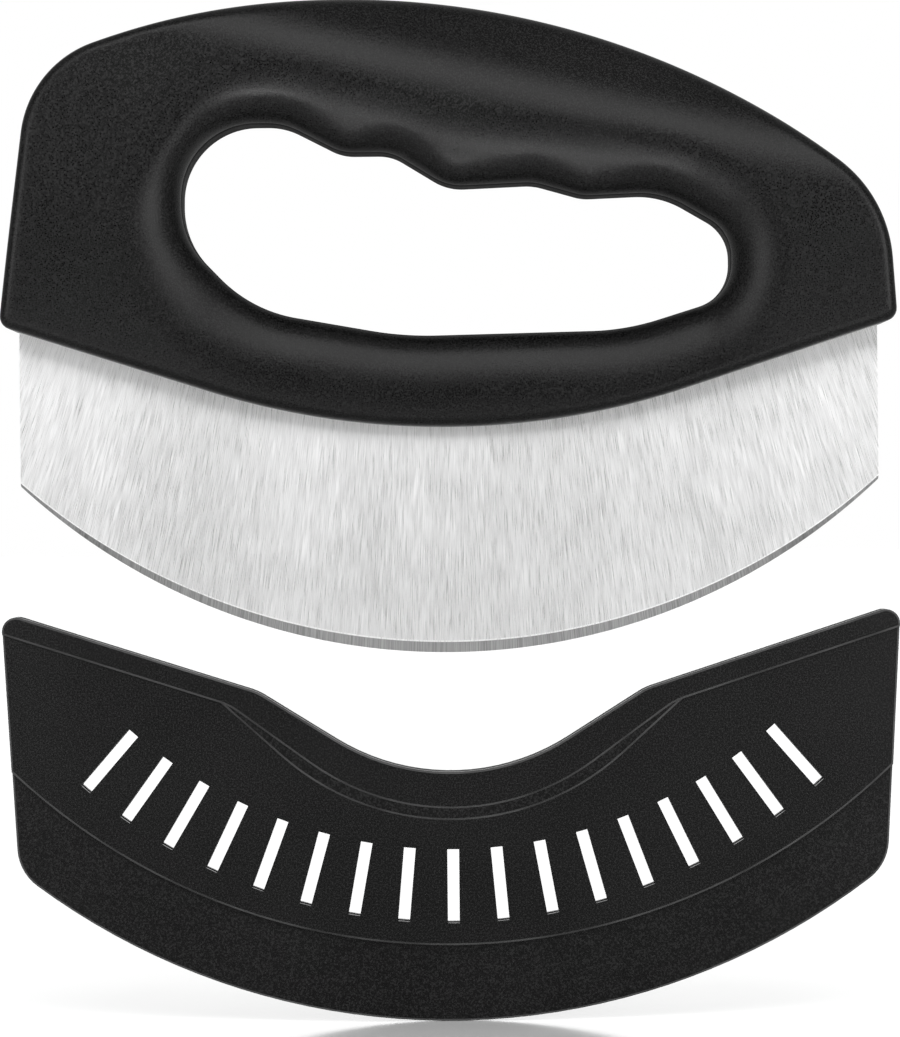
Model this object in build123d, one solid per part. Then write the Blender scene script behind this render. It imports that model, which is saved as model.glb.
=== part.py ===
from build123d import *
from math import cos, radians, sin, sqrt, tan
import os

# Rocking pizza knife: a curved steel blade held in a ring-shaped grip, and its sheath, taken off.
# X runs along the blade, Y through its thickness (the front is -Y), and Z points up, from the edge
# to the grip. The origin is the middle of the grip bar, where the hand holds the knife.

# Handle outline, all lengths in millimetres and all slopes in degrees
handle_width = 181.2
handle_height = 86.7
grip_to_top = 19.3
top_centre_offset = 18.8
top_drop_share = 0.504
left_side_lean = 7.3
right_side_lean = 4.5
left_shoulder_share = 0.254
right_shoulder_share = 0.323
lower_slope = 17.8
lower_radius = 158.8
lower_corner_radius = 2.6

# Handle thickness and roundings
grip_thickness = 25.0
blade_end_thickness = 12.6
full_grip_share = 0.516
crest_share = 0.760
crest_slope = 13.3
top_thickness = 5.4
outline_bevel = 1.5
round_base_share = 0.48
rim_round_share = 0.098

# Skin and core of the handle
skin_thickness = 2.2
foot_wall = 1.8
foot_depth = 6.0
core_rim_gap = 3.8

# Blade
blade_thickness = 2.0
blade_side_setback = 3.4
blade_reach = 45.8
edge_radius = 127.5
edge_land = 0.3
bevel_width = 2.1
bevel_end_width = 0.7
grind_margin = 2.0
tang_depth = 10.0
window_count = 5
window_width = 9.0
window_height = 4.0
ear_setback = 9.0
ear_width = 12.0
ear_rise = 14.0
ear_corner_radius = 3.0
ear_window_width = 5.0
ear_window_height = 8.0

# Sheath
sheath_drop = 58.0
seat_gap = 0.5
pocket_clearance = 0.3
pocket_floor_gap = 0.5
pocket_side_gap = 0.6
sheath_wall = 1.7
sheath_side_wall = 3.5
sheath_side_lean = 3.2
sheath_bottom_radius = 141.1
sheath_bottom_corner_radius = 10.0
sheath_top_corner_radius = 2.9
notch_dip = 4.0
notch_radius = 44.4
notch_slope = 32.0
shoulder_radius = 12.0
lip_width = 4.6
lip_notch_width = 7.4
lip_notch_radius = 49.0
lip_notch_slope = 36.0
lip_proud = 1.0
ledge_inset = 1.0
ledge_notch_width = 9.8
ledge_notch_radius = 52.0
ledge_notch_slope = 42.0
ledge_proud = 0.5
crease_margin = 1.9
flange_reach = 15.5
flange_thickness = 3.0
step_bevel = 0.4

# Slots through both walls of the sheath, fanned along an arc
slot_count = 17
slot_width = 2.4
slot_length = 15.0
slot_arc_radius = 106.0
slot_arc_rise = 12.0
slot_fan_angle = 82.0

cut_overrun = 5.0

# Corners of the hand hole, each with its rounding: a share of the handle's width from its middle, one
# of its height from below, and one of the base of the roundings
hole_corner_shares = (
    (-0.295, 0.710, 0.173),
    (-0.182, 0.710, 0.161),
    (-0.117, 0.640, 0.115),
    (-0.062, 0.640, 0.104),
    (0.001, 0.559, 0.127),
    (0.097, 0.567, 0.138),
    (0.152, 0.534, 0.115),
    (0.240, 0.541, 0.208),
    (0.316, 0.448, 0.100),
    (0.316, 0.298, 0.105),
    (0.199, 0.223, 0.577),
    (-0.050, 0.213, 0.807),
    (-0.220, 0.277, 0.323),
    (-0.296, 0.443, 0.196),
)
hole_left_share = -0.296
hole_right_share = 0.316

# Circles whose hull is the hole of the core: a share of the handle's height from below, and a radius
# as a share of that height
core_left_shares = (0.495, 0.242)
core_middle_shares = (0.382, 0.189)
core_right_shares = (0.386, 0.178)
core_middle_x_share = -0.055

# Sizes that follow
half_width = handle_width / 2
half_grip = grip_thickness / 2
half_blade_end = blade_end_thickness / 2
handle_bottom = grip_to_top - handle_height
top_drop = top_drop_share * handle_height
top_reach = half_width + top_centre_offset
top_radius = (top_reach**2 + top_drop**2) / (2 * top_drop)
left_shoulder_radius = left_shoulder_share * handle_height
right_shoulder_radius = right_shoulder_share * handle_height
lower_centre_z = handle_bottom + lower_radius
lower_turn_x = lower_radius * sin(radians(lower_slope))
lower_vertex_z = lower_centre_z - lower_radius / cos(radians(lower_slope))
full_grip_z = handle_bottom + full_grip_share * handle_height
crest_z = handle_bottom + crest_share * handle_height
crown_rise = grip_to_top - crest_z
crown_depth = (grip_thickness - top_thickness) / 2
crown_radius = (crown_rise**2 + crown_depth**2) / (2 * crown_depth)
round_base = min(handle_height, round_base_share * handle_width)
rim_round = rim_round_share * round_base
corner_z = lower_vertex_z + half_width * tan(radians(lower_slope))

blade_half_width = half_width - blade_side_setback
edge_centre_z = handle_bottom - blade_reach + edge_radius
edge_corner_z = edge_centre_z - sqrt(edge_radius**2 - blade_half_width**2)
bevel_low_z = edge_centre_z - edge_radius + bevel_width
bevel_sag = edge_corner_z + bevel_end_width - bevel_low_z
bevel_radius = (blade_half_width**2 + bevel_sag**2) / (2 * bevel_sag)
grind_z = edge_corner_z + bevel_end_width + grind_margin

sheath_travel = sheath_drop - seat_gap
sheath_centre_z = edge_centre_z - sheath_travel
pocket_thickness = blade_thickness + 2 * pocket_clearance
pocket_radius = edge_radius + pocket_floor_gap
pocket_half_width = blade_half_width + pocket_side_gap
body_thickness = pocket_thickness + 2 * sheath_wall
ledge_thickness = body_thickness + 2 * ledge_proud
lip_thickness = body_thickness + 2 * lip_proud
sheath_half_width = pocket_half_width + sheath_side_wall
crease_radius = edge_radius + crease_margin
mouth_vertex_z = lower_vertex_z - sheath_drop
mouth_low_z = mouth_vertex_z - notch_dip
sheath_bottom = sheath_centre_z - crease_radius - flange_reach


def slab(face, thickness):
    """A drawing, x along X and y along Z, thickened evenly to both sides of the middle plane."""
    return Pos(0, thickness / 2, 0) * extrude(Plane.XZ * face, thickness)


def place(share):
    """A point of the handle, from its shares of width and height."""
    return (share[0] * handle_width, handle_bottom + share[1] * handle_height)


def hole_face():
    """The hand hole: arcs for the fingers, the palm's end and the rest, joined by short straights."""
    corners = [place(share) for share in hole_corner_shares]
    radii = [share[2] * round_base for share in hole_corner_shares]
    return make_face(FilletPolyline(*corners, radius=radii, close=True))


def core_circle(shares):
    """Height of the centre and radius of a circle round which the core's hole runs."""
    return handle_bottom + shares[0] * handle_height, shares[1] * handle_height


def disc(radius, x, z):
    """A round face about a centre."""
    return Pos(x, z) * Circle(radius)


def column(half, low, high):
    """A face between two heights, of even width about the middle line."""
    return Pos(0, low) * Rectangle(2 * half, high - low, align=(Align.CENTER, Align.MIN))


def above_v(vertex_z, half_span):
    """Everything above a shallow V that runs along the handle's lower edge."""
    side_z = vertex_z + half_span * tan(radians(lower_slope))
    top = side_z + handle_height
    corners = Polyline(
        (0, vertex_z),
        (half_span, side_z),
        (half_span, top),
        (-half_span, top),
        (-half_span, side_z),
        close=True,
    )
    return make_face(corners)


def above_lower_edge(rise):
    """Everything above the handle's lower edge, raised by so much."""
    region = above_v(lower_vertex_z + rise, half_width)
    return fillet(region.vertices().sort_by(Axis.Y)[0], lower_radius)


def lower_edge_z(x):
    """Height of the handle's lower edge: two slopes joined by one arc."""
    if abs(x) < lower_turn_x:
        return lower_centre_z - sqrt(lower_radius**2 - x**2)
    return lower_vertex_z + abs(x) * tan(radians(lower_slope))


def handle_face():
    """Outline of the handle: one long top arc, leaning sides and a shallow V below."""
    top = grip_to_top + cut_overrun
    rise = top - corner_z
    corners = Polyline(
        (0, lower_vertex_z),
        (half_width, corner_z),
        (half_width - rise * tan(radians(right_side_lean)), top),
        (-half_width + rise * tan(radians(left_side_lean)), top),
        (-half_width, corner_z),
        close=True,
    )
    face = make_face(corners) & disc(top_radius, -top_centre_offset, grip_to_top - top_radius)
    shoulders = face.vertices().sort_by(Axis.Y)[-2:].sort_by(Axis.X)
    face = fillet(shoulders[0], left_shoulder_radius)
    face = fillet(face.vertices().sort_by_distance(shoulders[1])[0], right_shoulder_radius)
    across = face.vertices().sort_by(Axis.X)
    face = fillet([across[0], across[-1]], lower_corner_radius)
    return fillet(face.vertices().sort_by(Axis.Y)[0], lower_radius)


def thickness_cutters(inset):
    """Thin the handle down to the blade along a long arc, and over its top along the crown."""
    reach = half_grip + cut_overrun
    drop = full_grip_z - handle_bottom
    belly_depth = half_grip - half_blade_end
    belly_radius = (drop**2 + belly_depth**2) / (2 * belly_depth)
    belly = Pos(0, full_grip_z) * Rectangle(reach, drop + cut_overrun, align=(Align.MIN, Align.MAX))
    belly -= disc(belly_radius - inset, half_grip - belly_radius, full_grip_z)
    belly_cut = extrude(Plane.YZ * belly, half_width + cut_overrun, both=True)
    crown = Rectangle(reach, handle_height, align=(Align.MIN, Align.MIN))
    crown -= disc(crown_radius - inset, half_grip - crown_radius, 0)
    along = (cos(radians(crest_slope)), 0, -sin(radians(crest_slope)))
    crest_plane = Plane(origin=(0, 0, crest_z), x_dir=(0, 1, 0), z_dir=along)
    crown_cut = extrude(crest_plane * crown, handle_width, both=True)
    return [belly_cut, mirror(belly_cut, Plane.XZ), crown_cut, mirror(crown_cut, Plane.XZ)]


def side_walls(solid):
    """Faces that run straight through the thickness."""
    return [face for face in solid.faces() if abs(face.normal_at().Y) < 0.01]


def face_edges(walls):
    """The front and back edges of these walls."""
    edges = ShapeList([edge for wall in walls for edge in wall.edges()])
    return ShapeList([edge for edge in edges if abs(edge.tangent_at(0.5).Y) < 0.5])


def rounded_hole_plate():
    """A wide plate, as thick as the grip, with the hand hole and its rounded rims."""
    plate = slab(Rectangle(2 * handle_width, 2 * handle_height) - hole_face(), grip_thickness)
    wires = [wire for face in plate.faces().filter_by(Axis.Y) for wire in face.inner_wires()]
    return plate.fillet(rim_round, [edge for wire in wires for edge in wire.edges()])


def handle_form():
    """The whole handle as the hand feels it, solid inside, with its hand hole and roundings."""
    form = slab(handle_face(), grip_thickness)
    for cutter in thickness_cutters(0):
        form -= cutter
    return chamfer(face_edges(side_walls(form)), outline_bevel) & rounded_hole_plate()


def core_hole():
    """The hole of the core: the hull of three circles, wider than the hand hole all round."""
    left_z, left_radius = core_circle(core_left_shares)
    middle_z, middle_radius = core_circle(core_middle_shares)
    right_z, right_radius = core_circle(core_right_shares)
    circles = [
        disc(left_radius, hole_left_share * handle_width - core_rim_gap + left_radius, left_z),
        disc(middle_radius, core_middle_x_share * handle_width, middle_z),
        disc(right_radius, hole_right_share * handle_width + core_rim_gap - right_radius, right_z),
    ]
    return make_hull([circle.edge() for circle in circles])


def core_form():
    """The hard core: the handle drawn in by the skin, stepped thinner round a plain hole, and a foot."""
    core = slab(offset(handle_face(), -skin_thickness), grip_thickness)
    for cutter in thickness_cutters(skin_thickness):
        core -= cutter
    hole = core_hole()
    rim_step = offset(hole, rim_round - skin_thickness)
    core &= Box(2 * handle_width, grip_thickness - 2 * skin_thickness, 2 * handle_width)
    core -= slab(rim_step, grip_thickness) - slab(rim_step, grip_thickness - 2 * rim_round)
    core -= slab(hole, grip_thickness)
    foot = column(blade_half_width, handle_bottom, grip_to_top) & above_lower_edge(0)
    foot -= above_lower_edge(foot_depth)
    return core + slab(foot, blade_thickness + 2 * foot_wall)


def tang_face():
    """The flat of the blade above its grind, with two ears and the windows that lock it in."""
    flat = column(blade_half_width, grind_z, grip_to_top) - above_lower_edge(tang_depth)
    ear_x = blade_half_width - ear_setback - ear_width / 2
    ear_foot = lower_edge_z(ear_x)
    ear = Pos(0, ear_foot) * Rectangle(ear_width, tang_depth + ear_rise, align=(Align.CENTER, Align.MIN))
    ear = fillet(ear.vertices().sort_by(Axis.Y)[2:], ear_corner_radius)
    for side in (-1, 1):
        flat += Pos(side * ear_x, 0) * ear
        ear_window = Rectangle(ear_window_width, ear_window_height)
        flat -= Pos(side * ear_x, ear_foot + tang_depth + ear_rise / 2) * ear_window
    window_pitch = 2 * (ear_x - ear_width) / (window_count - 1)
    for index in range(window_count):
        x = (index - (window_count - 1) / 2) * window_pitch
        flat -= Pos(x, lower_edge_z(x) + tang_depth / 2) * Rectangle(window_width, window_height)
    return flat


def ground_face(radius, centre_z):
    """The blade below its flat, down to an arc."""
    return column(blade_half_width, centre_z - radius - cut_overrun, grind_z) & disc(radius, 0, centre_z)


def blade_solid():
    """Stamped plate with a curved edge, ground from both sides to a narrow land."""
    edge_face = ground_face(edge_radius, edge_centre_z)
    bevel_face = ground_face(bevel_radius, bevel_low_z + bevel_radius)
    blade = slab(tang_face(), blade_thickness) + slab(edge_face, edge_land)
    for side in (-1, 1):
        land_section = Pos(0, side * edge_land / 2, 0) * (Plane.XZ * edge_face)
        flat_section = Pos(0, side * blade_thickness / 2, 0) * (Plane.XZ * bevel_face)
        blade += loft([land_section, flat_section], ruled=True)
    return blade


def mouth_air(fall, low_z, radius, slope):
    """Everything above a line along the sheath's mouth: a shallow V with a rounded thumb notch."""
    turn_x = radius * sin(radians(slope))
    turn_z = low_z + radius - radius * cos(radians(slope))
    spread = turn_x + sheath_drop / tan(radians(slope))
    wedge_top = turn_z + sheath_drop
    wedge = Polyline(
        (-turn_x, turn_z),
        (turn_x, turn_z),
        (spread, wedge_top),
        (-spread, wedge_top),
        close=True,
    )
    notch = make_face(wedge) + disc(radius, 0, low_z + radius)
    air = above_v(mouth_vertex_z - fall, handle_width) + notch
    corners = [vertex for vertex in air.vertices() if abs(vertex.X) > turn_x + cut_overrun]
    return fillet(ShapeList(corners).sort_by(Axis.Y)[:2], shoulder_radius)


def sheath_face():
    """Outline of the sheath: sides leaning in, one long arc below and the notched mouth above."""
    top = mouth_vertex_z + sheath_half_width * tan(radians(lower_slope))
    inward = (top - sheath_bottom) * tan(radians(sheath_side_lean))
    sides = Polyline(
        (-sheath_half_width, top),
        (sheath_half_width, top),
        (sheath_half_width - inward, sheath_bottom),
        (-sheath_half_width + inward, sheath_bottom),
        close=True,
    )
    face = make_face(sides) & disc(sheath_bottom_radius, 0, sheath_bottom + sheath_bottom_radius)
    face = fillet(face.vertices().sort_by(Axis.Y)[:2], sheath_bottom_corner_radius)
    face -= mouth_air(0, mouth_low_z, notch_radius, notch_slope)
    return fillet(face.vertices().sort_by(Axis.Y)[-2:], sheath_top_corner_radius)


def slot_faces():
    """Plain slots, each pointing at the centre of the arc they lie on."""
    centre_z = sheath_centre_z - crease_radius + slot_arc_rise + slot_arc_radius
    slots = Sketch()
    for index in range(slot_count):
        angle = (index / (slot_count - 1) - 1 / 2) * slot_fan_angle
        x = slot_arc_radius * sin(radians(angle))
        z = centre_z - slot_arc_radius * cos(radians(angle))
        slots += Pos(x, z) * Rot(0, 0, angle) * Rectangle(slot_width, slot_length)
    return slots


def sheath_solid():
    """One moulding: a flange, a pocket body, a thumb ledge and a proud lip, stepped in thickness."""
    outline = sheath_face()
    lip_air = mouth_air(lip_width, mouth_low_z - lip_notch_width, lip_notch_radius, lip_notch_slope)
    ledge_air = mouth_air(
        lip_width - ledge_inset, mouth_low_z - ledge_notch_width, ledge_notch_radius, ledge_notch_slope
    )
    steps = [
        (outline, flange_thickness),
        (outline & disc(crease_radius, 0, sheath_centre_z), body_thickness),
        (outline & ledge_air, ledge_thickness),
        (outline & lip_air, lip_thickness),
    ]
    sheath = Part()
    for face, thickness in steps:
        plate = slab(face, thickness)
        sheath += chamfer(face_edges(side_walls(plate)), step_bevel)
    pocket = column(pocket_half_width, sheath_bottom, 0) & disc(pocket_radius, 0, sheath_centre_z)
    return sheath - slab(pocket, pocket_thickness) - slab(slot_faces(), lip_thickness + cut_overrun)


def main():
    blade = blade_solid()
    core = core_form()
    parts = {
        "blade": blade,
        "handle_core": core - blade,
        "handle_grip": handle_form() - core - blade,
        "sheath": sheath_solid(),
    }
    os.makedirs("parts", exist_ok=True)
    for name, solid in parts.items():
        export_step(solid, f"parts/{name}.step")


if __name__ == "__main__":
    main()
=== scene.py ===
from math import acos, atan2, cos, hypot, pi, radians, sin, sqrt, tan

import bpy
import numpy as np
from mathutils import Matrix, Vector


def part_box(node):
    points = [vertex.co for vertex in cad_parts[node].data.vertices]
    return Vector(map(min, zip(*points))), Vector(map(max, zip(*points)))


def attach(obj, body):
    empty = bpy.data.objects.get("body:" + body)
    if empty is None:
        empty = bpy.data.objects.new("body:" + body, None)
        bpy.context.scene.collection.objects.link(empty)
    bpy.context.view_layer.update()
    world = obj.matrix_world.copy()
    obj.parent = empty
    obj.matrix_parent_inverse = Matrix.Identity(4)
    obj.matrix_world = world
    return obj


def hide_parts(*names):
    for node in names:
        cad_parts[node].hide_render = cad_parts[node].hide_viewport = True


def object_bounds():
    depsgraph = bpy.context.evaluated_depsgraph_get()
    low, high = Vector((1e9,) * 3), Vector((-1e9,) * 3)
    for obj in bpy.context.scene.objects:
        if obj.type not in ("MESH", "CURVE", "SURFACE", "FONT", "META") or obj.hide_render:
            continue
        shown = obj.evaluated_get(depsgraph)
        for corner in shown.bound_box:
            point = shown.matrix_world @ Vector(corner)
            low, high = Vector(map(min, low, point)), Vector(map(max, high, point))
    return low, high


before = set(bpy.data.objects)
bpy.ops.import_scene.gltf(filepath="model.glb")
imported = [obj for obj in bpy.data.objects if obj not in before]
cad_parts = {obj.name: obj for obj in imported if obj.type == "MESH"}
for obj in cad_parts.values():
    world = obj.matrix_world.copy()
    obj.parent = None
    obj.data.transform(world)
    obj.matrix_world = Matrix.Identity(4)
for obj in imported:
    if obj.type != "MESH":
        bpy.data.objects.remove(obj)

# Everything is in metres in the part's own frame: X along the blade, Y through it with the front at
# -Y, Z up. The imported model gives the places; the sizes below are the knife's own.
CAD_LOW, CAD_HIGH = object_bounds()
GRIP_LOW, GRIP_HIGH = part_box("handle_grip")
BLADE_LOW, BLADE_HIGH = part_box("blade")

# Handle outline
HANDLE_WIDTH = 0.1812
HALF_WIDTH = HANDLE_WIDTH / 2
HANDLE_TOP = GRIP_HIGH.z
HANDLE_BOTTOM = GRIP_LOW.z
HANDLE_HEIGHT = HANDLE_TOP - HANDLE_BOTTOM
TOP_RADIUS = 0.1588
TOP_CENTRE_X = -0.0188
LEFT_LEAN = radians(7.3)
RIGHT_LEAN = radians(4.5)
LEFT_SHOULDER_RADIUS = 0.022
RIGHT_SHOULDER_RADIUS = 0.028
LOWER_SLOPE = radians(17.8)
LOWER_RADIUS = 0.1588
LOWER_CORNER_RADIUS = 0.0026
LOWER_VERTEX_Z = HANDLE_BOTTOM + LOWER_RADIUS - LOWER_RADIUS / cos(LOWER_SLOPE)
CORNER_Z = LOWER_VERTEX_Z + HALF_WIDTH * tan(LOWER_SLOPE)

# Corners of the hand hole with their roundings, as shares of the handle's width and height
HOLE_CORNER_SHARES = (
    (-0.295, 0.710, 0.173),
    (-0.182, 0.710, 0.161),
    (-0.117, 0.640, 0.115),
    (-0.062, 0.640, 0.104),
    (0.001, 0.559, 0.127),
    (0.097, 0.567, 0.138),
    (0.152, 0.534, 0.115),
    (0.240, 0.541, 0.208),
    (0.316, 0.448, 0.100),
    (0.316, 0.298, 0.105),
    (0.199, 0.223, 0.577),
    (-0.050, 0.213, 0.807),
    (-0.220, 0.277, 0.323),
    (-0.296, 0.443, 0.196),
)

# The ring is swept round a short line through the middle of the hole
SPINE_START = np.array((-0.034, -0.028))
SPINE_END = np.array((0.040, -0.034))
SPINE_TURN = 0.030

# Handle thickness: a belly that thins to the blade, and a slanting crest that falls away to the top
HALF_GRIP = GRIP_HIGH.y
HALF_BLADE_END = 0.0063
BELLY_START_Z = HANDLE_TOP - 0.042
CREST_Z = HANDLE_TOP - 0.0215
CREST_SLOPE = radians(13.3)
CROWN_RADIUS = 0.0245
CROWN_BEND = 0.0122

# Rounding round the hand hole: its width on the left, under the bar and at the right end, how much
# narrower it is at the upper left, its depth, and below the hole a small rounding on a long slope
RIM_WIDTH = 0.0125
BAR_RIM_WIDTH = 0.0150
END_RIM_WIDTH = 0.0120
CORNER_NARROWING = 0.0062
RIM_DEPTH = 0.0085
LOW_RIM_WIDTH = 0.0040
LOW_RIM_DEPTH = 0.0022
LOW_SLOPE_WIDTH = 0.0175
LOW_SLOPE_DEPTH = 0.0062
LOW_FULL_SHARE = 0.8
OUTER_ROUND = 0.002

# Length over which the finger grooves are evened out, and how far off the rim the even line counts fully
GROOVE_BLUR = 0.012
GROOVE_FADE = 0.006

# Mesh of the grip: how far its rim rows reach, where its wall rows stand as shares of the thickness,
# the rows from rim to outer edge, the points round the ring, and how finely the outlines are drawn
RIM_REACH = 0.6 * RIM_WIDTH
WALL_SHARES = (0, 0.5, 0.9)
WALL_ROWS_IN_FRONT = 2
RIM_ROWS = 14
PLATEAU_ROWS = 26
EDGE_ROWS = 6
RING_STEPS = 1200
BEND_PER_METRE = 20.0
LARGEST_BEND = 0.2
OUTLINE_STEP = 0.0006
OUTLINE_SPACING = 0.0004
NORMAL_SPAN = 3
DISTANCE_BLOCK = 2000

# Blade, with a narrow paler line painted above its ground edge as a highlight
BLADE_HALF_WIDTH = BLADE_HIGH.x
BLADE_HALF_THICKNESS = BLADE_HIGH.y
EDGE_RADIUS = 0.1275
EDGE_HALF_LAND = 0.00015
BEVEL_WIDTH = 0.0021
BEVEL_END_WIDTH = 0.0007
HIGHLIGHT_LINE_WIDTH = 0.0003
BLADE_TUCK = 0.004
GRAIN_ORIGIN_Z = 0.19
BLADE_COLUMNS = 360
BLADE_ROWS = 40

# Surfaces: the scales of their noises for each metre, the heights of their relief and plain ratios.
# A range is the low and high result, followed where it has four numbers by the low and high noise.
GRAIN_HEIGHT = 0.00012
GRAIN_BUMP = 0.35
FINE_GRAIN_BUMP = 0.2
SPECK_CLOUDS = (0.4, 0.6)
SPECK_GRAIN = (0.1, 2.8, 0.5, 0.62)
CLOUD_ROUGHNESS = (-0.03, 0.03)
GRAIN_ROUGHNESS = (-0.07, 0.07)
FINE_GRAIN_HEIGHT = 0.00006
FINE_GRAIN_RATIO = 2.7
CLOUD_SCALE = 38.0
# Painted highlight on the sheath: the slanting faces of its steps are made paler, patchy like wear
EDGE_HIGHLIGHT_AND_WEAR_SCALE = 90.0
EDGE_SLANTS = (0, 1, 0.1, 0.2)
EDGE_HIGHLIGHT_AND_WEAR = (0.4, 1)
SMUDGE_SCALE = 24.0
SMUDGE_SHADE = (-0.008, 0.008)
SMUDGE_ROUGHNESS = (-0.02, 0.03)
BRUSH_HEIGHT = 0.000005
BRUSH_BUMP = 0.12
BRUSH_SHADE = (-0.09, 0.07, 0.42, 0.58)
BRUSH_ROUGHNESS = (-0.05, 0.07)
BRUSH_ANISOTROPY = 0.6
BROAD_BRUSH_SHADE = (-0.03, 0.03)
BROAD_BRUSH_SHARE = 0.012
BROAD_BRUSH_STRETCH = 3.0
BRUSH_SKEW_SHARES = (0.6, 0.8)
FLOOR_CLOUD_SCALE = 3.0
FLOOR_TONES = (0.84, 0.87)
FLOOR_ROUGHNESS = (0.1, 0.13)

# Floor
FLOOR_GAP = 0.0001
FLOOR_HALF = 12.0

# Light: how bright the surroundings are, over which stretch of their Y they change, and the softboxes
SIDE_DIM = 0.6
FRONT_LIGHT = 0.32
BACK_LIGHT = 1.35
FRONT_RAMP = (-0.35, -0.85)
BACK_RAMP = (0.85, 0.985)
FRONT_TARGET = (0, 0, -0.02)
BAR_TARGET = (0, 0, 0.136)
SOFTBOXES = {
    "top": dict(
        place=(0.03, -0.72, 0.46), target=FRONT_TARGET,
        size=(0.8, 0.40), brightness=5.4, spread=180,
    ),
    "right": dict(
        place=(0.54, -0.72, -0.03), target=FRONT_TARGET,
        size=(0.44, 0.5), brightness=6.6, spread=180,
    ),
    "left": dict(
        place=(-0.54, -0.72, -0.03), target=FRONT_TARGET,
        size=(0.44, 0.5), brightness=4.8, spread=180,
    ),
    "bottom": dict(
        place=(0.0, -0.24, -0.15), target=BAR_TARGET,
        size=(0.5, 0.09), brightness=2.4, spread=50,
    ),
}

# Camera
PHOTO_ROLL = radians(0.55)
CAMERA_DISTANCE = 0.9
CAMERA_Z = -0.086
LENS = 153.5
NEAREST_SEEN = 0.01
FARTHEST_SEEN = 50


def arc(centre, radius, start, end, step=OUTLINE_STEP):
    """Points along an arc in the X-Z plane, angles in radians."""
    count = max(int(abs(end - start) * max(radius, 4 * step) / step), 6)
    angles = np.linspace(start, end, count)
    return [(centre[0] + radius * cos(a), centre[1] + radius * sin(a)) for a in angles]


def corner_arc(before, corner, after, radius):
    """The rounding of one corner of an outline."""
    back = Vector((before[0] - corner[0], before[1] - corner[1])).normalized()
    on = Vector((after[0] - corner[0], after[1] - corner[1])).normalized()
    half = acos(max(-1, min(1, back.dot(on)))) / 2
    middle = (back + on).normalized()
    centre = (corner[0] + middle.x * radius / sin(half), corner[1] + middle.y * radius / sin(half))
    reach = radius / tan(half)
    first = (corner[0] + back.x * reach - centre[0], corner[1] + back.y * reach - centre[1])
    last = (corner[0] + on.x * reach - centre[0], corner[1] + on.y * reach - centre[1])
    start = atan2(first[1], first[0])
    turn = (atan2(last[1], last[0]) - start + pi) % (2 * pi) - pi
    return arc(centre, radius, start, start + turn)


def shoulder(side, lean, radius):
    """One shoulder: where it leaves the leaning side, its centre, and where it meets the top arc."""
    top_centre = Vector((TOP_CENTRE_X, HANDLE_TOP - TOP_RADIUS))
    along = Vector((-side * sin(lean), cos(lean)))
    outward = Vector((side * cos(lean), sin(lean)))
    start = Vector((side * HALF_WIDTH, CORNER_Z)) - outward * radius - top_centre
    b = start.dot(along)
    c = start.dot(start) - (TOP_RADIUS - radius) ** 2
    centre = start + along * (-b + sqrt(b * b - c))
    side_angle = atan2(outward.y, outward.x)
    top_angle = atan2(centre.y, centre.x)
    return centre + top_centre, side_angle, top_angle


def handle_outline():
    """The handle's outer edge, counter-clockwise from the middle of its underside."""
    right, right_side, right_top = shoulder(1, RIGHT_LEAN, RIGHT_SHOULDER_RADIUS)
    left, left_side, left_top = shoulder(-1, LEFT_LEAN, LEFT_SHOULDER_RADIUS)
    below = (0, HANDLE_BOTTOM + LOWER_RADIUS)
    top = (TOP_CENTRE_X, HANDLE_TOP - TOP_RADIUS)
    vertex = (0, LOWER_VERTEX_Z)
    points = arc(below, LOWER_RADIUS, -pi / 2, -pi / 2 + LOWER_SLOPE)
    lean_right = (HALF_WIDTH - HANDLE_HEIGHT * tan(RIGHT_LEAN), CORNER_Z + HANDLE_HEIGHT)
    lean_left = (-HALF_WIDTH + HANDLE_HEIGHT * tan(LEFT_LEAN), CORNER_Z + HANDLE_HEIGHT)
    points += corner_arc(vertex, (HALF_WIDTH, CORNER_Z), lean_right, LOWER_CORNER_RADIUS)
    points += arc(right, RIGHT_SHOULDER_RADIUS, right_side, right_top)
    points += arc(top, TOP_RADIUS, right_top, left_top)
    points += arc(left, LEFT_SHOULDER_RADIUS, left_top, left_side)
    points += corner_arc(lean_left, (-HALF_WIDTH, CORNER_Z), vertex, LOWER_CORNER_RADIUS)
    points += arc(below, LOWER_RADIUS, -pi / 2 - LOWER_SLOPE, -pi / 2)
    return densified(points)


def hole_outline():
    """The rim of the hand hole, clockwise from its upper left."""
    corners = [
        (x * HANDLE_WIDTH, HANDLE_BOTTOM + z * HANDLE_HEIGHT, r * HANDLE_HEIGHT)
        for x, z, r in HOLE_CORNER_SHARES
    ]
    points = []
    for index, corner in enumerate(corners):
        before = corners[index - 1]
        after = corners[(index + 1) % len(corners)]
        points += corner_arc(before[:2], corner[:2], after[:2], corner[2])
    return densified(points)


def densified(points, spacing=OUTLINE_SPACING):
    """The closed outline with points no further apart than the spacing."""
    dense = []
    for here, there in zip(points, points[1:] + points[:1]):
        length = hypot(there[0] - here[0], there[1] - here[1])
        count = int(length / spacing) + 1
        if length > 1e-9:
            dense += [
                (here[0] + (there[0] - here[0]) * k / count, here[1] + (there[1] - here[1]) * k / count)
                for k in range(count)
            ]
    return np.array(dense)


def spine_frame():
    """The spine's length, its direction and the direction across it."""
    run = SPINE_END - SPINE_START
    length = np.hypot(*run)
    along = run / length
    return length, along, np.array((-along[1], along[0]))


def ring_length():
    """Once round the spine, counter-clockwise, its ends counted as half circles."""
    return 2 * spine_frame()[0] + 2 * pi * SPINE_TURN


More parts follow.
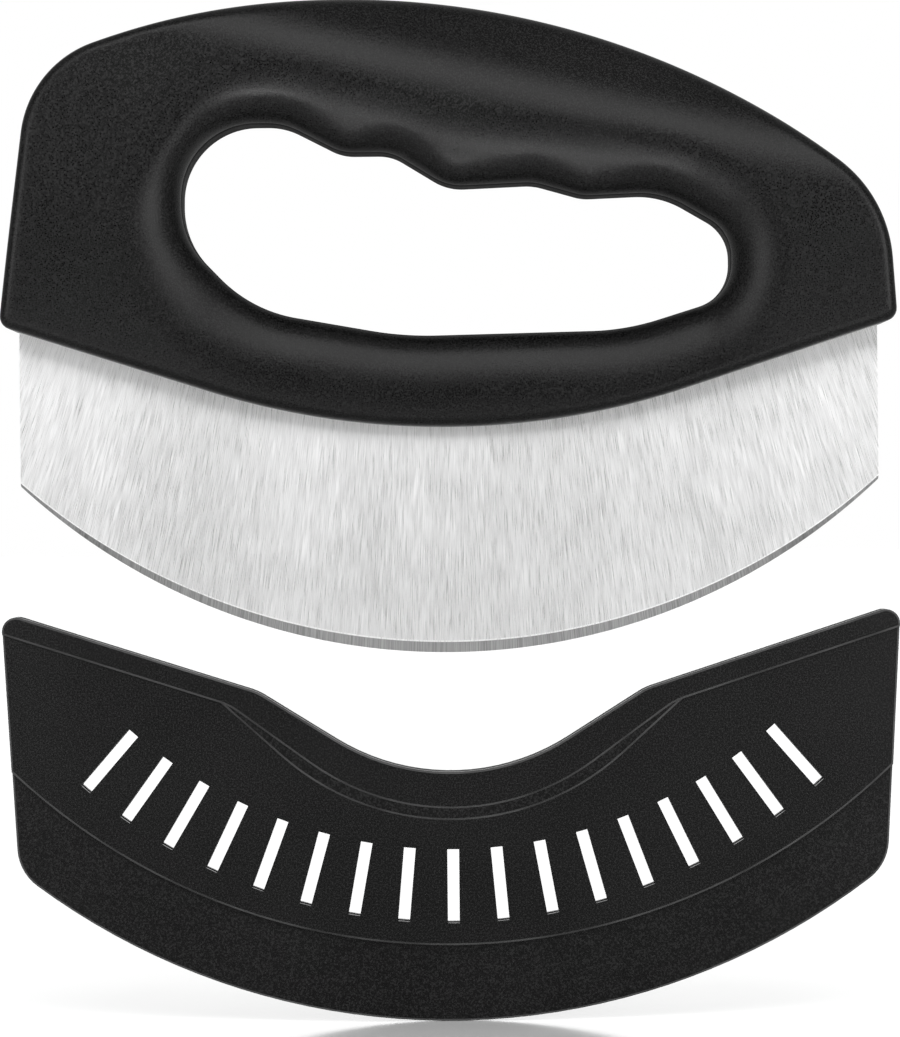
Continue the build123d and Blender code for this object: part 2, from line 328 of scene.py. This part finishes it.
def places_round(points):
    """How far round the spine each point lies, and its direction from the spine."""
    length, along, across = spine_frame()
    t = (points - SPINE_START) @ along
    h = (points - SPINE_START) @ across
    beyond = t - np.clip(t, 0, length)
    quarter = SPINE_TURN * pi / 2
    right = np.arctan2(h, np.maximum(beyond, 0)) * SPINE_TURN
    left = quarter + length + (np.arctan2(h, np.minimum(beyond, 0)) % (2 * pi) - pi / 2) * SPINE_TURN
    top = quarter + length - t
    bottom = 3 * quarter + length + t
    side = np.where(h > 0, top, bottom)
    place = np.where(beyond > 0, right, np.where(beyond < 0, left, side))
    direction = np.outer(beyond, along) + np.outer(h, across)
    direction /= np.linalg.norm(direction, axis=1)[:, None]
    return place % ring_length(), direction


def unrolled(outline):
    """Place round the spine, point and outward normal of each outline point, in order."""
    tangent = np.roll(outline, -NORMAL_SPAN, axis=0) - np.roll(outline, NORMAL_SPAN, axis=0)
    normal = np.stack([tangent[:, 1], -tangent[:, 0]], axis=1)
    normal /= np.linalg.norm(normal, axis=1)[:, None]
    place, direction = places_round(outline)
    normal *= np.sign((normal * direction).sum(axis=1))[:, None]
    order = np.argsort(place)
    return place[order], outline[order], normal[order]


def at_places(outline, places):
    """Points and outward normals of an outline at the given places round the spine."""
    place, point, normal = unrolled(outline)
    found = []
    for values in (point, normal):
        columns = [np.interp(places, place, values[:, k], period=ring_length()) for k in range(2)]
        found.append(np.stack(columns, axis=1))
    points, normals = found
    return points, normals / np.linalg.norm(normals, axis=1)[:, None]


def distance_to(outline, points):
    """Shortest distance from each point to an outline."""
    found = np.empty(len(points))
    for first in range(0, len(points), DISTANCE_BLOCK):
        part = points[first : first + DISTANCE_BLOCK]
        gap = part[:, None, :] - outline[None, :, :]
        found[first : first + DISTANCE_BLOCK] = np.sqrt((gap**2).sum(axis=2).min(axis=1))
    return found


def half_thickness(x, z):
    """Half the handle's thickness before its rims are rounded: full at the grip, thinner both ways."""
    belly_drop = np.clip(BELLY_START_Z - z, 0, None)
    depth = HALF_GRIP - HALF_BLADE_END
    run = BELLY_START_Z - HANDLE_BOTTOM
    belly_radius = (run**2 + depth**2) / (2 * depth)
    belly = belly_radius - np.sqrt(belly_radius**2 - belly_drop**2)
    rise = np.clip(x * sin(CREST_SLOPE) + (z - CREST_Z) * cos(CREST_SLOPE), 0, None)
    bent = np.minimum(rise, CROWN_BEND)
    crown = CROWN_RADIUS - np.sqrt(CROWN_RADIUS**2 - bent**2)
    crown += (rise - bent) * CROWN_BEND / sqrt(CROWN_RADIUS**2 - CROWN_BEND**2)
    return HALF_GRIP - belly - crown


def rounding(distance, width, depth):
    """How far the surface falls away near a rim, as a quarter ellipse."""
    u = np.clip((width - distance) / width, 0, 1)
    return depth * (1 - np.sqrt(1 - u**2))


def mesh_object(name, vertices, faces, materials, indices=None, smooth=True):
    """A mesh piece from its corners and faces."""
    mesh = bpy.data.meshes.new(name)
    mesh.from_pydata([tuple(v) for v in vertices], [], faces)
    for material in materials:
        mesh.materials.append(material)
    if indices is not None:
        mesh.polygons.foreach_set("material_index", indices)
    mesh.polygons.foreach_set("use_smooth", [smooth] * len(mesh.polygons))
    mesh.validate()
    mesh.update()
    piece = bpy.data.objects.new(name, mesh)
    bpy.context.scene.collection.objects.link(piece)
    return piece


def rim_fall(distance, direction):
    """How far the front falls away by the hole: a wide rounding, and a long slope below the hole."""
    bar = np.clip(direction[:, 1], 0, 1) ** 4
    end = np.clip(direction[:, 0], 0, 1) ** 4
    low = np.clip(-direction[:, 1] / LOW_FULL_SHARE, 0, 1)
    low = low**2 * (3 - 2 * low) * (1 - end)
    width = RIM_WIDTH + (BAR_RIM_WIDTH - RIM_WIDTH) * bar
    width = width + (END_RIM_WIDTH - width) * end
    corner = 2 * np.clip(-direction[:, 0], 0, 1) * np.clip(direction[:, 1], 0, 1)
    width -= CORNER_NARROWING * corner**2
    upper = rounding(distance, width, RIM_DEPTH)
    slope = LOW_SLOPE_DEPTH * np.clip(1 - distance / LOW_SLOPE_WIDTH, 0, 1) ** 2
    lower = slope + rounding(distance, LOW_RIM_WIDTH, LOW_RIM_DEPTH)
    return upper + (lower - upper) * low


def smoothed(rim, direction):
    """The rim with its finger grooves evened out, for the part of the rounding far from the edge."""
    reach = np.cumsum(np.hypot(*(rim - np.roll(rim, 1, axis=0)).T))
    gap = np.abs(reach[:, None] - reach[None, :])
    gap = np.minimum(gap, reach[-1] - gap)
    weight = np.exp(-((gap / GROOVE_BLUR) ** 2)) * np.gradient(reach)[None, :]
    even = (weight @ rim) / weight.sum(axis=1)[:, None]
    share = np.clip(direction[:, 1], 0, 1)[:, None] ** 4
    return rim + (even - rim) * share


def grip_rows(hole_line, outer_line, places):
    """Rows of points from the hole's rim to the outer edge, with their distance from either if known."""
    rim, rim_out = at_places(hole_line, places)
    edge, edge_out = at_places(outer_line, places)
    rows = []
    for k in range(RIM_ROWS + 1):
        reach = RIM_REACH * (1 - cos(pi / 2 * k / RIM_ROWS))
        rows.append((rim + rim_out * reach, reach, None))
    inner, outer = rows[-1][0], edge - edge_out * OUTER_ROUND
    for k in range(1, PLATEAU_ROWS):
        rows.append((inner + (outer - inner) * (k / PLATEAU_ROWS), None, None))
    for k in range(EDGE_ROWS + 1):
        reach = OUTER_ROUND * (1 - sin(pi / 2 * k / EDGE_ROWS))
        rows.append((edge - edge_out * reach, None, reach))
    return rows


def grip_piece(material, rim_material):
    """The soft skin of the handle: one closed ring, with its own material on the hole's walls."""
    outer_line = handle_outline()
    hole_line = hole_outline()
    places = ring_places(outer_line, hole_line)
    count = len(places)
    rim = at_places(hole_line, places)[0]
    even = smoothed(rim, places_round(rim)[1])
    front = []
    for row, rim_reach, edge_reach in grip_rows(hole_line, outer_line, places):
        to_rim = distance_to(hole_line, row) if rim_reach is None else np.full(count, rim_reach)
        to_edge = distance_to(outer_line, row) if edge_reach is None else np.full(count, edge_reach)
        place, direction = places_round(row)
        columns = [np.interp(place, places, even[:, k], period=ring_length()) for k in range(2)]
        to_even = ((row - np.stack(columns, axis=1)) * direction).sum(axis=1)
        blend = np.clip(to_rim / GROOVE_FADE, 0, 1) ** 2 * np.clip(direction[:, 1], 0, 1) ** 8
        to_rim = to_rim + (np.maximum(to_even, 0) - to_rim) * blend
        y = half_thickness(row[:, 0], row[:, 1])
        y = y - rim_fall(to_rim, direction) - rounding(to_edge, OUTER_ROUND, OUTER_ROUND)
        front.append(np.stack([row[:, 0], -y, row[:, 1]], axis=1))
    rim_wall = [front[0] * [1, share, 1] for share in WALL_SHARES]
    edge_wall = [front[-1] * [1, share, 1] for share in WALL_SHARES[::-1]]
    half = rim_wall + front + edge_wall
    back = [row * [1, -1, 1] for row in half[-2:0:-1]]
    loops = half + back
    wall = len(rim_wall) + WALL_ROWS_IN_FRONT
    faces, kinds = [], []
    for k in range(len(loops)):
        a, b = k * count, (k + 1) % len(loops) * count
        for i in range(count):
            j = (i + 1) % count
            faces.append((a + i, a + j, b + j, b + i))
        kinds += [int(k < wall or k >= len(loops) - wall)] * count
    return mesh_object("grip_skin_shape", np.concatenate(loops), faces, [material, rim_material], kinds)


def ring_places(outer_line, hole_line):
    """Places round the ring, closer together where either outline bends."""
    shares = []
    for outline in (outer_line, hole_line):
        place, point, normal = unrolled(outline)
        bend = np.abs(np.diff(np.unwrap(np.arctan2(normal[:, 1], normal[:, 0]))))
        step = np.hypot(*np.diff(point, axis=0).T)
        run = np.cumsum(np.concatenate([[0], np.minimum(bend, LARGEST_BEND) + step * BEND_PER_METRE]))
        shares.append((place, run / run[-1]))
    steps = np.linspace(0, 1, RING_STEPS // 2, endpoint=False)
    picked = [np.interp(steps, run, place) for place, run in shares]
    return np.unique(np.round(np.concatenate(picked), 6))


def lower_edge(x):
    """Height of the handle's lower edge."""
    turn = LOWER_RADIUS * sin(LOWER_SLOPE)
    if abs(x) < turn:
        return HANDLE_BOTTOM + LOWER_RADIUS - sqrt(LOWER_RADIUS**2 - x**2)
    return LOWER_VERTEX_Z + abs(x) * tan(LOWER_SLOPE)


def blade_piece(flat, bevel, highlight_line):
    """The visible blade, its top in the handle: a flat, a paler strip painted as a highlight line, and an
    edge ground both sides.
    """
    edge_centre = BLADE_LOW.z + EDGE_RADIUS
    corner_z = edge_centre - sqrt(EDGE_RADIUS**2 - BLADE_HALF_WIDTH**2)
    sag = corner_z + BEVEL_END_WIDTH - (BLADE_LOW.z + BEVEL_WIDTH)
    bevel_radius = (BLADE_HALF_WIDTH**2 + sag**2) / (2 * sag)
    bevel_centre = BLADE_LOW.z + BEVEL_WIDTH + bevel_radius
    xs = [BLADE_HALF_WIDTH * (2 * k / BLADE_COLUMNS - 1) for k in range(BLADE_COLUMNS + 1)]
    side = []
    for x in xs:
        edge = edge_centre - sqrt(EDGE_RADIUS**2 - x**2)
        line = bevel_centre - sqrt(bevel_radius**2 - x**2)
        top = lower_edge(x) + BLADE_TUCK
        column = [(x, -EDGE_HALF_LAND, edge)]
        column.append((x, -BLADE_HALF_THICKNESS, line))
        # A narrow strip of the flat, in the same plane, gets a paler steel: a painted highlight line
        line += HIGHLIGHT_LINE_WIDTH
        column += [
            (x, -BLADE_HALF_THICKNESS, line + (top - line) * k / BLADE_ROWS)
            for k in range(BLADE_ROWS + 1)
        ]
        side.append(column)
    rows = len(side[0])
    vertices = [p for column in side for p in column]
    half = len(vertices)
    vertices += [(x, -y, z) for x, y, z in vertices]
    flat_kind, bevel_kind, highlight_line_kind = range(3)
    row_kinds = (bevel_kind, highlight_line_kind) + (flat_kind,) * (rows - 3)
    faces, kinds = [], []
    for c in range(BLADE_COLUMNS):
        for r in range(rows - 1):
            a, b = c * rows + r, (c + 1) * rows + r
            faces.append((a, b, b + 1, a + 1))
            faces.append((half + a, half + a + 1, half + b + 1, half + b))
            kinds += [row_kinds[r]] * 2
        a, b = c * rows, (c + 1) * rows
        faces.append((a, half + a, half + b, b))
        faces.append((a + rows - 1, b + rows - 1, half + b + rows - 1, half + a + rows - 1))
        kinds += [bevel_kind, flat_kind]
    for c in (0, BLADE_COLUMNS):
        for r in range(rows - 1):
            a = c * rows + r
            face = (a, a + 1, half + a + 1, half + a)
            faces.append(face if c == 0 else face[::-1])
            kinds.append(row_kinds[r])
    return mesh_object("blade_shape", vertices, faces, [flat, bevel, highlight_line], kinds, smooth=False)


class Nodes:
    """Short forms for building a node material."""

    def __init__(self, name):
        self.material = bpy.data.materials.new(name)
        self.material.use_nodes = True
        self.tree = self.material.node_tree
        self.shader = self.tree.nodes["Principled BSDF"]
        self.place = self.add("ShaderNodeTexCoord").outputs["Object"]

    def add(self, kind, **settings):
        node = self.tree.nodes.new(kind)
        for key, value in settings.items():
            setattr(node, key, value)
        return node

    def link(self, source, target):
        self.tree.links.new(source, target)

    def math(self, operation, first, second=0.0):
        node = self.add("ShaderNodeMath", operation=operation)
        for socket, value in zip(node.inputs, (first, second)):
            self.feed(value, socket)
        return node.outputs[0]

    def feed(self, value, socket):
        if isinstance(value, (int, float)):
            socket.default_value = value
        else:
            self.link(value, socket)

    def noise(self, scale, detail=4.0, roughness=0.5, place=None):
        node = self.add("ShaderNodeTexNoise")
        node.inputs["Scale"].default_value = scale
        node.inputs["Detail"].default_value = detail
        node.inputs["Roughness"].default_value = roughness
        self.link(place or self.place, node.inputs["Vector"])
        return node.outputs["Fac"]

    def spread(self, value, low, high, from_low=0.3, from_high=0.7):
        node = self.add("ShaderNodeMapRange")
        self.link(value, node.inputs["Value"])
        limits = (("From Min", from_low), ("From Max", from_high), ("To Min", low), ("To Max", high))
        for name, number in limits:
            node.inputs[name].default_value = number
        return node.outputs["Result"]

    def bump(self, height, strength, distance, below=None):
        node = self.add("ShaderNodeBump")
        node.inputs["Strength"].default_value = strength
        node.inputs["Distance"].default_value = distance
        self.link(height, node.inputs["Height"])
        if below is not None:
            self.link(below, node.inputs["Normal"])
        return node.outputs["Normal"]

    def grey(self, value, dark, light):
        node = self.add("ShaderNodeMix", data_type="RGBA")
        self.link(value, node.inputs["Factor"])
        node.inputs["A"].default_value = (dark, dark, dark, 1)
        node.inputs["B"].default_value = (light, light, light, 1)
        return node.outputs["Result"]

    def set(self, **values):
        for name, value in values.items():
            self.feed(value, self.shader.inputs[name.replace("_", " ")])


def plastic(name, tone, grain_scale, roughness, specular):
    """Black moulded plastic with a fine matte grain and a little wear."""
    m = Nodes(name)
    grain = m.noise(grain_scale, 3.0, 0.6)
    fine = m.noise(grain_scale * FINE_GRAIN_RATIO, 2.0, 0.5)
    cloud = m.noise(CLOUD_SCALE, 5.0, 0.55)
    speck = m.math("MULTIPLY", m.spread(cloud, *SPECK_CLOUDS), m.spread(grain, *SPECK_GRAIN))
    m.link(m.grey(speck, 0, tone * 2), m.shader.inputs["Base Color"])
    wear = m.math("ADD", m.spread(cloud, *CLOUD_ROUGHNESS), m.spread(grain, *GRAIN_ROUGHNESS))
    m.link(m.math("ADD", wear, roughness), m.shader.inputs["Roughness"])
    coarse = m.bump(grain, GRAIN_BUMP, GRAIN_HEIGHT)
    m.link(m.bump(fine, FINE_GRAIN_BUMP, FINE_GRAIN_HEIGHT, coarse), m.shader.inputs["Normal"])
    m.set(Specular_IOR_Level=specular)
    return m


def sheath_plastic(name, tone, edge_highlight_tone, grain_scale, roughness, specular):
    """The same plastic, paler along the narrow slanting edges of its steps: a painted highlight, patchy
    like wear.
    """
    m = plastic(name, tone, grain_scale, roughness, specular)
    parts = m.add("ShaderNodeSeparateXYZ")
    m.link(m.add("ShaderNodeNewGeometry").outputs["True Normal"], parts.inputs[0])
    facing = m.math("ABSOLUTE", parts.outputs["Y"])
    slant = m.math("MULTIPLY", facing, m.math("SUBTRACT", 1.0, facing))
    # Painted highlight: slanting step faces get a paler base colour, broken up by a wear-like noise
    edges = m.spread(slant, *EDGE_SLANTS)
    highlight_and_wear = m.math("MULTIPLY", edges, m.spread(m.noise(EDGE_HIGHLIGHT_AND_WEAR_SCALE, 4.0), *EDGE_HIGHLIGHT_AND_WEAR))
    mix = m.add("ShaderNodeMix", data_type="RGBA")
    m.link(highlight_and_wear, mix.inputs["Factor"])
    m.link(m.shader.inputs["Base Color"].links[0].from_socket, mix.inputs["A"])
    mix.inputs["B"].default_value = (edge_highlight_tone, edge_highlight_tone, edge_highlight_tone, 1)
    m.link(mix.outputs["Result"], m.shader.inputs["Base Color"])
    return m


def steel(name, tone, roughness, grain_scale, stretch):
    """Brushed steel whose grain fans out from a point high above the blade."""
    m = Nodes(name)
    parts = m.add("ShaderNodeSeparateXYZ")
    m.link(m.place, parts.inputs[0])
    x, z = parts.outputs["X"], parts.outputs["Z"]
    drop = m.math("SUBTRACT", GRAIN_ORIGIN_Z, z)
    angle = m.math("ARCTAN2", x, drop)
    reach = m.math("SQRT", m.math("ADD", m.math("MULTIPLY", x, x), m.math("MULTIPLY", drop, drop)))
    along = m.add("ShaderNodeCombineXYZ")
    m.link(m.math("MULTIPLY", angle, grain_scale), along.inputs["X"])
    m.link(m.math("MULTIPLY", reach, stretch), along.inputs["Y"])
    skew = m.math("MULTIPLY", angle, grain_scale * BRUSH_SKEW_SHARES[0])
    skew = m.math("ADD", skew, m.math("MULTIPLY", reach, stretch * BRUSH_SKEW_SHARES[1]))
    m.link(skew, along.inputs["Z"])
    lines = m.noise(1.0, 2.0, 0.5, along.outputs[0])
    broad_place = m.add("ShaderNodeCombineXYZ")
    m.link(m.math("MULTIPLY", angle, grain_scale * BROAD_BRUSH_SHARE), broad_place.inputs["X"])
    m.link(m.math("MULTIPLY", reach, BROAD_BRUSH_STRETCH), broad_place.inputs["Y"])
    broad = m.noise(1.0, 2.0, 0.5, broad_place.outputs[0])
    smudge = m.noise(SMUDGE_SCALE, 5.0, 0.6)
    shade = m.math("ADD", m.spread(lines, *BRUSH_SHADE), m.spread(broad, *BROAD_BRUSH_SHADE))
    shade = m.math("ADD", shade, m.spread(smudge, *SMUDGE_SHADE))
    level = m.math("ADD", shade, tone)
    colour = m.add("ShaderNodeCombineColor")
    for channel in ("Red", "Green", "Blue"):
        m.link(level, colour.inputs[channel])
    m.link(colour.outputs[0], m.shader.inputs["Base Color"])
    rough = m.math("ADD", m.spread(lines, *BRUSH_ROUGHNESS), m.spread(smudge, *SMUDGE_ROUGHNESS))
    m.link(m.math("ADD", rough, roughness), m.shader.inputs["Roughness"])
    m.link(m.bump(lines, BRUSH_BUMP, BRUSH_HEIGHT), m.shader.inputs["Normal"])
    tangent = m.add("ShaderNodeCombineXYZ")
    m.link(x, tangent.inputs["X"])
    m.link(m.math("MULTIPLY", drop, -1.0), tangent.inputs["Z"])
    m.link(tangent.outputs[0], m.shader.inputs["Tangent"])
    m.set(Metallic=1.0, Anisotropic=BRUSH_ANISOTROPY)
    return m


def floor_material():
    """Pale smooth table top."""
    m = Nodes("floor_white")
    cloud = m.noise(FLOOR_CLOUD_SCALE, 3.0)
    m.link(m.grey(m.spread(cloud, 0, 1), *FLOOR_TONES), m.shader.inputs["Base Color"])
    m.link(m.spread(cloud, *FLOOR_ROUGHNESS), m.shader.inputs["Roughness"])
    return m


def floor_piece(material):
    """A wide flat floor just under the sheath."""
    z = CAD_LOW.z - FLOOR_GAP
    corners = [(x, y, z) for x, y in ((-1, -1), (1, -1), (1, 1), (-1, 1))]
    vertices = [(x * FLOOR_HALF, y * FLOOR_HALF, z) for x, y, z in corners]
    return mesh_object("floor", vertices, [(0, 1, 2, 3)], [material])


def softbox(name, place, target, size, brightness, spread):
    """A rectangular lamp in front of the knife, aimed at a point, its spread in degrees."""
    light = bpy.data.lights.new(name, "AREA")
    light.shape = "RECTANGLE"
    light.size, light.size_y = size
    light.energy = brightness * pi * size[0] * size[1]
    light.spread = radians(spread)
    lamp = bpy.data.objects.new(name, light)
    lamp.location = place
    lamp.rotation_mode = "QUATERNION"
    lamp.rotation_quaternion = (Vector(target) - Vector(place)).to_track_quat("-Z", "Y")
    lamp.visible_camera = False
    bpy.context.scene.collection.objects.link(lamp)


def studio_world():
    """Surroundings white to the camera; their light is bright behind, dim at the sides, least in front."""
    world = bpy.data.worlds.new("studio")
    bpy.context.scene.world = world
    world.use_nodes = True
    tree = world.node_tree
    background = tree.nodes["Background"]
    background.inputs["Color"].default_value = (1, 1, 1, 1)
    coords = tree.nodes.new("ShaderNodeTexCoord")
    parts = tree.nodes.new("ShaderNodeSeparateXYZ")
    tree.links.new(coords.outputs["Generated"], parts.inputs[0])
    level = None
    for (start, end), light in ((BACK_RAMP, BACK_LIGHT), (FRONT_RAMP, FRONT_LIGHT)):
        ramp = tree.nodes.new("ShaderNodeMapRange")
        ramp.interpolation_type = "SMOOTHSTEP"
        for name, number in (("From Min", start), ("From Max", end), ("To Max", light - SIDE_DIM)):
            ramp.inputs[name].default_value = number
        tree.links.new(parts.outputs["Y"], ramp.inputs["Value"])
        total = tree.nodes.new("ShaderNodeMath")
        total.inputs[1].default_value = SIDE_DIM
        tree.links.new(ramp.outputs["Result"], total.inputs[0])
        if level is not None:
            tree.links.new(level, total.inputs[1])
        level = total.outputs[0]
    path = tree.nodes.new("ShaderNodeLightPath")
    seen = tree.nodes.new("ShaderNodeMix")
    tree.links.new(path.outputs["Is Camera Ray"], seen.inputs["Factor"])
    tree.links.new(level, seen.inputs["A"])
    seen.inputs["B"].default_value = 1.0
    tree.links.new(seen.outputs["Result"], background.inputs["Strength"])


def camera():
    """A long lens straight at the front, turned as little as the photo is."""
    data = bpy.data.cameras.new("camera")
    data.lens = LENS
    data.clip_start, data.clip_end = NEAREST_SEEN, FARTHEST_SEEN
    seen_by = bpy.data.objects.new("camera", data)
    seen_by.location = (0, -CAMERA_DISTANCE, CAMERA_Z)
    seen_by.rotation_euler = (pi / 2, PHOTO_ROLL, 0)
    bpy.context.scene.collection.objects.link(seen_by)
    bpy.context.scene.camera = seen_by


grip_black = plastic("grip_soft_black", tone=0.0042, grain_scale=3000.0, roughness=0.32, specular=0.15)
rim_black = plastic("grip_rim_black", tone=0.004, grain_scale=3000.0, roughness=0.6, specular=0.02)
core_black = plastic("core_black", tone=0.02, grain_scale=1500.0, roughness=0.5, specular=0.4)
# The sheath's edge tone is a painted highlight along its steps
sheath_black = sheath_plastic(
    "sheath_black", tone=0.0046, edge_highlight_tone=0.075, grain_scale=3000.0, roughness=0.36, specular=0.16
)
blade_steel = steel("brushed_steel", tone=0.77, roughness=0.30, grain_scale=3400.0, stretch=150.0)
# Ground bevel: its grind lines are its own; its tone, much darker than the flat's, is painted shade
bevel_steel = steel("ground_bevel_steel_with_painted_shade", tone=0.32, roughness=0.34, grain_scale=1900.0, stretch=60.0)
# Painted highlight: a paler steel for the narrow line above the bevel
highlight_line_steel = steel("highlight_line_steel", tone=0.96, roughness=0.30, grain_scale=2700.0, stretch=60.0)

grip = grip_piece(grip_black.material, rim_black.material)
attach(grip, "knife")
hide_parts("handle_grip")

blade = blade_piece(blade_steel.material, bevel_steel.material, highlight_line_steel.material)
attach(blade, "knife")
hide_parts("blade")

for node, material, slot in (
    ("handle_core", core_black.material, "core_plastic"),
    ("sheath", sheath_black.material, "sheath_plastic"),
):
    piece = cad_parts[node]
    piece.data.materials.clear()
    piece.data.materials.append(material)

ground = floor_piece(floor_material().material)

studio_world()
for name, setting in SOFTBOXES.items():
    softbox(name + "_softbox", **setting)
camera()

bpy.context.scene.view_settings.view_transform = "Standard"
